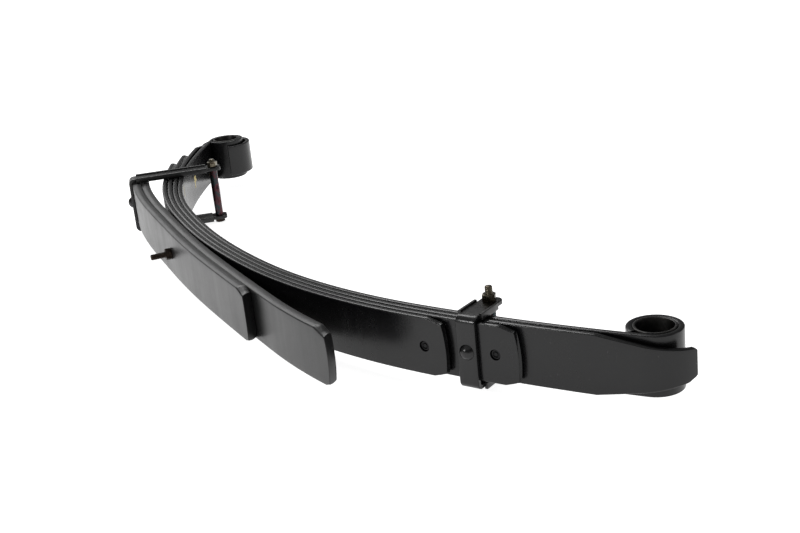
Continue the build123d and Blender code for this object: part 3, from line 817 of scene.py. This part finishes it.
# ---- eyes ----
def eyes():
    """Steel bush in each eye, with broken edges."""
    up = Vector((0, 0, 1))
    for tangent, word in ((REAR_EYE_TANGENT, "rear"), (FRONT_EYE_TANGENT, "front")):
        centre = vector(eye_centre(tangent))
        h, r0, r1 = BUSH_HALF_LENGTH, BUSH_BORE, BUSH_OUTER
        profile = [(-h + 0.5, r1), (h - 0.5, r1), (h - 0.15, r1 - 0.15), (h, r1 - 0.5), (h, r0 + 0.9),
                   (h - 0.25, r0 + 0.3), (h - 0.9, r0), (-h + 0.9, r0), (-h + 0.25, r0 + 0.3),
                   (-h, r0 + 0.9), (-h, r1 - 0.5), (-h + 0.15, r1 - 0.15)]
        bush = lathe(f"{word}_bush", centre, up, profile, BUSH_STEEL, closed_profile=True, segments=96)
        show(bush, word + "_end", word + "_eye_bush")


# ---- centre bolt ----
def centre_bolt():
    down = Vector((0, -1, 0))
    stack = 4 * THICK + 5 * SEAT_GAP + 2 * THICK_OVERLOAD + 0.05
    r, h = CENTRE_HEAD, CENTRE_HEAD_HEIGHT
    head = lathe("centre_bolt_head", Vector((0, 0, 0)), Vector((0, 1, 0)),
                 [(0, 0.01), (0, r), (h - 1, r), (h - 0.3, r - 0.35), (h, r - 1), (h, 2.2), (h - 0.5, 1.2),
                  (h - 0.5, 0.01)], DARK_BOLT)
    show(head, "seat", "centre_bolt")
    shank = threaded("centre_bolt_thread", Vector((0, 0, 0)), down, CENTRE_SHANK, stack - 2,
                     CENTRE_REACH - stack + 2, 1.5, DARK_BOLT)
    show(shank, "seat", "centre_bolt")
    nut = hexagon("centre_nut_hex", Vector((0, -stack, 0)), down, CENTRE_FLATS, CENTRE_NUT,
                  CENTRE_SHANK + 0.03, DARK_BOLT, True, turn=math.radians(12))
    show(nut, "seat", "centre_nut")


# ---- friction pads ----
def pads():
    """Each pad: a disc between two leaves and a stem in the leaf's hole, with a ring groove in its end."""
    for word, number, ends in (("third", 3, THIRD_ENDS), ("fourth", 4, FOURTH_ENDS)):
        for end, place in zip(ends, ("front", "rear")):
            s = end + (PAD_INSET if end < 0 else -PAD_INSET)
            slope = main_slope(number, s)
            face = vector(main_point(s, leaf_depth(number, s)))
            normal = Vector((-math.sin(slope), math.cos(slope), 0))
            top = fan_gap(s) - PAD_PLAY / 2
            low = -(THICK - PAD_RECESS) + PAD_PLAY / 2
            profile = [(top, 0.01), (top, PAD_DISC - 0.3), (top - 0.2, PAD_DISC),
                       (PAD_PLAY / 2 + 0.1, PAD_DISC), (PAD_PLAY / 2, PAD_DISC - 0.2),
                       (PAD_PLAY / 2, PAD_STEM), (low + 0.9, PAD_STEM),
                       (low + 0.4, PAD_STEM - 0.12), (low + 0.12, PAD_STEM - 0.4), (low, PAD_STEM - 0.8),
                       (low, 3.5), (low + 0.15, 3.35), (low + 0.65, 3.1), (low + 0.8, 2.75),
                       (low + 0.65, 2.35), (low + 0.15, 2.1), (low, 1.9), (low, 0.01)]
            piece = lathe(f"{word}_{place}_pad", face, normal, profile[::-1], PAD_PLASTIC, segments=48)
            show(piece, place + "_end", f"{word}_leaf_{place}_pad")


# ---- clips ----
def clip_frame(end):
    """Origin, along, towards the eyes' side, for a clip on the face it is riveted to."""
    s = CLIP_AT[end]
    if end == "rear":
        point, heading = main_point(s, leaf_depth(3, s) + THICK), main_slope(3, s)
    else:
        point, heading = overload_point(s, 2 * THICK_OVERLOAD + SEAT_GAP), overload_heading(s)
    along = Vector((math.cos(heading), math.sin(heading), 0))
    return vector(point), along, Vector((-math.sin(heading), math.cos(heading), 0))


def strap_stations(end):
    """Strap from the end of its upper leg, across the pack's face, to the end of its lower leg."""
    origin, along, out = clip_frame(end)
    high = STRAP_TOP + STRAP_THICK / 2
    low = STRAP_BOTTOM[end] - STRAP_THICK / 2
    base = -0.05 - STRAP_THICK / 2
    bend = STRAP_BEND + STRAP_THICK / 2
    top = CLIP_BOLT_AT[end] - STRAP_THICK + LEG_END_REACH
    rows, distance = [], 0.0

    def lay(z, n, nz, nn, half=STRAP_WIDTH / 2):
        nonlocal distance
        point = origin + Vector((0, 0, z)) + out * n
        if rows:
            distance += (point - rows[-1][0]).length
        rows.append((point, Vector((0, 0, nz)) + out * nn, along, half, distance))

    tips = [LEG_CORNER * (1 - math.cos(math.radians(a))) for a in range(0, 91, 10)]
    halves = [STRAP_WIDTH / 2 - LEG_CORNER * (1 - math.sin(math.radians(a))) for a in range(0, 91, 10)]
    for back, half in zip(tips, halves):
        lay(high, top - back, -1, 0, half)
    for n in spaced(top - LEG_CORNER, base + bend, 8.0)[1:]:
        lay(high, n, -1, 0)
    for a in range(10, 91, 10):
        t = math.radians(a)
        lay(high - bend + bend * math.cos(t), base + bend - bend * math.sin(t), -math.cos(t), math.sin(t))
    for z in spaced(high - bend, low + bend, 8.0)[1:]:
        lay(z, base, 0, 1)
    for a in range(10, 91, 10):
        t = math.radians(a)
        lay(low + bend - bend * math.sin(t), base + bend - bend * math.cos(t), math.sin(t), math.cos(t))
    for n in spaced(base + bend, top - LEG_CORNER, 8.0)[1:]:
        lay(low, n, 1, 0)
    for back, half in list(reversed(list(zip(tips, halves))))[1:]:
        lay(low, top - back, 1, 0, half)
    return rows


def channel(end, side):
    """Moulded liner: a web against the pack and a lip along both edges of the leg."""
    origin, along, out = clip_frame(end)
    inner = (STRAP_TOP if side > 0 else -STRAP_BOTTOM[end]) - 0.05 - LINER_WEB
    outer = inner + LINER_WEB + STRAP_THICK + LINER_LIP
    slot = (STRAP_WIDTH + 0.1) / 2
    wide = slot + LINER_WALL
    outline = []
    for sign in (1, -1):
        arc = [(wide - 0.7 + 0.7 * math.sin(math.radians(a)), inner + 0.7 - 0.7 * math.cos(math.radians(a)))
               for a in range(0, 91, 18)]
        lip = [(wide, outer - 0.5), (wide - 0.15, outer - 0.15), (wide - 0.5, outer), (slot + 0.35, outer),
               (slot + 0.08, outer - 0.12), (slot, outer - 0.35), (slot, inner + LINER_WEB + 0.1),
               (slot - 0.1, inner + LINER_WEB)]
        half = arc + lip
        outline += [(sign * x, z) for x, z in (half if sign > 0 else reversed(half))]
    rings = []
    stops = ((LINER_START, 0.4), (LINER_START + 0.15, 0.12), (LINER_START + 0.5, 0.0))
    values = list(stops) + [(n, 0.0) for n in spaced(LINER_START + 0.5, LINER_END[end] - 0.5, 10.0)[1:-1]]
    values += [(LINER_START + LINER_END[end] - n, inset) for n, inset in reversed(stops)]
    for n, inset in values:
        scale = 1 - inset / wide
        rings.append([origin + out * n + along * x * scale + Vector((0, 0, side * z)) for x, z in outline])
    return loft(f"{end}_{'upper' if side > 0 else 'lower'}_channel", rings, LINER_PLASTIC, angle=40.0)


def clip(end):
    """One clip: strap, liners, rivet, spacer tube, bolt and nut."""
    body = "rear_end" if end == "rear" else "seat"
    origin, _, out = clip_frame(end)
    strap = sweep(f"{end}_strap", strap_stations(end), STRAP_THICK, 0.9, CLIP_PAINT, (0.4, 0.4), across=4,
                  corner=4)
    show(strap, body, f"{end}_clip_strap")
    for side, word in ((1, "upper"), (-1, "lower")):
        show(channel(end, side), body, f"{end}_clip_{word}_liner")
    ball = (RIVET_HEAD**2 + RIVET_HEIGHT**2) / (2 * RIVET_HEIGHT)
    dome = [(0.0, 0.01), (0.0, RIVET_HEAD - 0.2), (0.25, RIVET_HEAD)]
    for i in range(1, 13):
        height = 0.25 + (RIVET_HEIGHT - 0.25) * i / 12
        level = ball - RIVET_HEIGHT + height
        dome.append((height, math.sqrt(max(1e-4, ball**2 - level**2))))
    rivet = lathe(f"{end}_rivet", origin - out * (STRAP_THICK + 0.1), -out, dome, RIVET_PAINT, segments=48)
    show(rivet, body, f"{end}_clip_rivet")
    up = Vector((0, 0, 1))
    axis = origin + out * (CLIP_BOLT_AT[end] - STRAP_THICK)
    outer = STRAP_TOP + STRAP_THICK + 0.05
    under = STRAP_BOTTOM[end] - STRAP_THICK - 0.05
    h, low = STRAP_TOP - 0.1, STRAP_BOTTOM[end] + 0.1
    tube = lathe(f"{end}_spacer_tube", axis, up,
                 [(low + 0.3, TUBE_OUTER), (h - 0.3, TUBE_OUTER), (h, TUBE_OUTER - 0.3), (h, TUBE_BORE),
                  (low, TUBE_BORE), (low, TUBE_OUTER - 0.3)], ZINC_TUBE, closed_profile=True, segments=48)
    show(tube, body, f"{end}_clip_tube")
    shank = threaded(f"{end}_bolt_thread", axis + up * under, up, CLIP_BOLT, outer - under - 6,
                     6 + CLIP_NUT + CLIP_OUT[end], 1.25, ZINC)
    show(shank, body, f"{end}_clip_bolt")
    head = hexagon(f"{end}_bolt_head", axis + up * under, -up, CLIP_FLATS, CLIP_HEAD, 0, DARK_BOLT,
                   False, turn=0.3)
    show(head, body, f"{end}_clip_bolt")
    nut = hexagon(f"{end}_nut_hex", axis + up * outer, up, CLIP_FLATS, CLIP_NUT,
                  CLIP_BOLT + 0.03, ZINC, True, turn=0.15)
    show(nut, body, f"{end}_clip_nut")


main_pack()
paint_marks()
overloads()
eyes()
centre_bolt()
pads()
clip("rear")
clip("front")


# ---- stage ----
FLOOR_GLOW = 0.88
CEILING = 0.15
# Camera: place in metres, then heading, pitch and roll in degrees, and its lens in millimetres.
CAMERA_AT = (1.52374, -0.34123, 0.48197)
CAMERA_TURN = (158.445, 19.198, 5.849)
CAMERA_LENS, SENSOR_WIDTH = 56.5605, 36.0


def floor():
    """Pale floor just under the lowest point of the part."""
    size = 30.0
    level = cad_box[0].z - 0.0004
    mesh = bpy.data.meshes.new("floor")
    mesh.from_pydata([(-size, -size, level), (size, -size, level), (size, size, level), (-size, size, level)],
                     [], [(0, 1, 2, 3)])
    material, nodes, links, body = shader("floor", (0.8, 0.8, 0.8), 0.75, specular=0.2)
    space = coordinates(nodes, links, "Object", (1, 1, 1))
    links.new(ramp(nodes, links, noise(nodes, links, space, 3.0, 4.0, 0.6),
                   ((0.3, (0.79, 0.79, 0.79)), (0.7, (0.82, 0.82, 0.82)))), body.inputs["Base Color"])
    body.inputs["Emission Color"].default_value = (1, 1, 1, 1)
    body.inputs["Emission Strength"].default_value = FLOOR_GLOW
    mesh.materials.append(material)
    plane = bpy.data.objects.new("floor", mesh)
    bpy.context.collection.objects.link(plane)


def area_light(name, place, aim, size, power):
    """Rectangular soft light; place, aim and size are in metres."""
    data = bpy.data.lights.new(name, "AREA")
    data.shape = "RECTANGLE"
    data.size, data.size_y = size
    data.energy = power
    light = bpy.data.objects.new(name, data)
    light.location = place
    light.rotation_mode = "QUATERNION"
    light.rotation_quaternion = (Vector(aim) - Vector(place)).to_track_quat("-Z", "Y")
    bpy.context.collection.objects.link(light)


def sun_light(name, source, strength, spread):
    """Very large, soft overhead light from the direction of source."""
    data = bpy.data.lights.new(name, "SUN")
    data.energy = strength
    data.angle = math.radians(spread)
    light = bpy.data.objects.new(name, data)
    light.rotation_mode = "QUATERNION"
    light.rotation_quaternion = Vector(source).to_track_quat("Z", "Y")
    bpy.context.collection.objects.link(light)


def world():
    """White low walls that fall off to a dark ceiling."""
    scene_world = bpy.data.worlds.new("studio")
    scene_world.use_nodes = True
    nodes, links = scene_world.node_tree.nodes, scene_world.node_tree.links
    background = nodes["Background"]
    direction = nodes.new("ShaderNodeTexCoord")
    split = nodes.new("ShaderNodeSeparateXYZ")
    links.new(direction.outputs["Generated"], split.inputs[0])
    falloff = ((0.0, (0.8,) * 3), (0.08, (0.45,) * 3), (0.25, (CEILING,) * 3))
    links.new(ramp(nodes, links, split.outputs["Z"], falloff), background.inputs["Color"])
    background.inputs["Strength"].default_value = 1.0
    bpy.context.scene.world = scene_world


def camera():
    """Camera turned to its heading, pitched down, then rolled."""
    heading, pitch, roll = (math.radians(a) for a in CAMERA_TURN)
    plan = Vector((math.cos(heading), math.sin(heading), 0))
    right = Vector((math.sin(heading), -math.cos(heading), 0))
    forward = plan * math.cos(pitch) - Vector((0, 0, math.sin(pitch)))
    down = -plan * math.sin(pitch) - Vector((0, 0, math.cos(pitch)))
    image_right = right * math.cos(roll) + down * math.sin(roll)
    image_down = -right * math.sin(roll) + down * math.cos(roll)
    data = bpy.data.cameras.new("camera")
    data.sensor_width = SENSOR_WIDTH
    data.lens = CAMERA_LENS
    data.clip_start, data.clip_end = 0.02, 100.0
    eye = bpy.data.objects.new("camera", data)
    back = -forward
    up = -image_down
    eye.matrix_world = Matrix.Translation(CAMERA_AT) @ Matrix((image_right, up, back)).transposed().to_4x4()
    bpy.context.collection.objects.link(eye)
    bpy.context.scene.camera = eye


floor()
world()
sun_light("overhead", (0.1, -0.15, 1.0), 0.5, 80.0)
area_light("back_left", (-3.0, -0.35, 2.0), (0.0, 0.0, 0.0), (1.7, 2.3), 26)
area_light("back_high", (-1.9, 0.75, 2.3), (0.2, 0.1, 0), (1.3, 1.1), 26)
area_light("side_spot", (0.62, -2.1, 1.18), (0.5, 0.1, 0), (0.32, 0.32), 19.0)
area_light("right", (1.4, 1.6, 0.9), (0.4, 0.2, 0), (0.7, 0.9), 3)
camera()
bpy.context.scene.view_settings.view_transform = "Standard"
